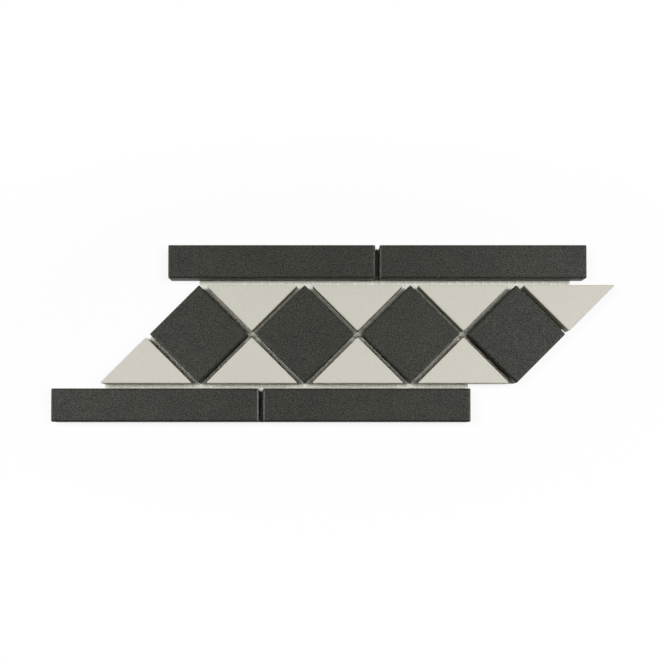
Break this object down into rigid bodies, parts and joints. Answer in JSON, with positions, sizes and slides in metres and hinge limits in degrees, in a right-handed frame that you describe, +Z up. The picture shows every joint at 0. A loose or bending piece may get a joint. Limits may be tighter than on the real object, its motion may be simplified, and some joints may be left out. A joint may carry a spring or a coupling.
{
  "type": "border tile",
  "caption": "Net-backed sheet of unglazed border tiles: dark squares on their points, pale triangle fillers and staggered dark edging strips, for edging a tiled floor.",
  "frame": {"origin": "middle of the sheet's underside, under the centre of its bounding box", "axes": "+X along the border, +Y across it towards the upper strips, +Z up from the net to the tile faces"},
  "size_m": [0.404, 0.1272, 0.0095],
  "materials": {
    "dark_tile": "unglazed, matt, finely grained",
    "pale_tile": "unglazed, matt, smooth",
    "net": "white glass-fibre yarn, coated"
  },
  "bodies": {
    "root": {"strip_upper_1": "dark_tile", "strip_upper_2": "dark_tile", "strip_lower_1": "dark_tile", "strip_lower_2": "dark_tile", "square_1": "dark_tile", "square_2": "dark_tile", "square_3": "dark_tile", "square_4": "dark_tile", "triangle_upper_1": "pale_tile", "triangle_upper_2": "pale_tile", "triangle_upper_3": "pale_tile", "triangle_upper_4": "pale_tile", "triangle_lower_1": "pale_tile", "triangle_lower_2": "pale_tile", "triangle_lower_3": "pale_tile", "triangle_lower_4": "pale_tile", "net_left": "net", "net_middle": "net", "net_right": "net"}
  },
  "joints": []
}
